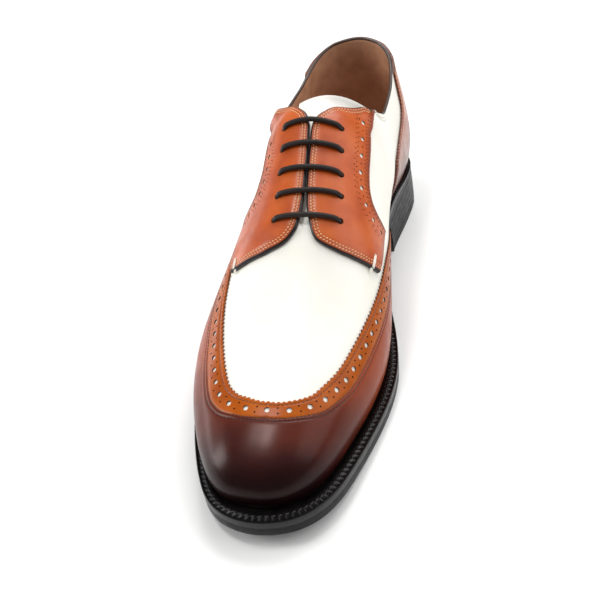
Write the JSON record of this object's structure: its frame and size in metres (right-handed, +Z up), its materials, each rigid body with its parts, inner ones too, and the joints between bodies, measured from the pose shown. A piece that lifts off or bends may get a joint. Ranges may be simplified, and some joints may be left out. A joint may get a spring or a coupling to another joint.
{
  "type": "derby shoe",
  "caption": "Wingtip derby dress shoe in white and tan leather: hollow upper with laced facings on a welted leather sole with a stacked heel.",
  "frame": {"origin": "on the floor, under the middle of the shoe's bounding box", "axes": "+Z up, toe towards -Y and heel towards +Y, the inner side of the foot towards +X"},
  "size_m": [0.1048, 0.3038, 0.1114],
  "materials": {
    "white_leather": "smooth ivory-white calf, satin",
    "tan_leather": "hand-burnished cognac calf, polished",
    "wing_leather": "cognac burnished to near-black oxblood at the toe, high polish",
    "sole_leather": "black edge ink, satin wax",
    "heel_rubber": "matt black",
    "insole_leather": "natural brown sock leather, matt",
    "lace_cord": "round waxed cotton, dark brown"
  },
  "bodies": {
    "root": {"outsole": "sole_leather", "welt": "sole_leather", "heel_stack": "sole_leather", "heel_top_piece": "heel_rubber", "insole": "insole_leather", "upper": "white_leather", "tongue": "white_leather", "facing_lateral": "tan_leather", "facing_medial": "tan_leather", "wing_cap": "wing_leather", "heel_counter": "tan_leather", "lace_bar_1": "lace_cord", "lace_bar_2": "lace_cord", "lace_bar_3": "lace_cord", "lace_bar_4": "lace_cord", "lace_bar_5": "lace_cord"}
  },
  "joints": []
}
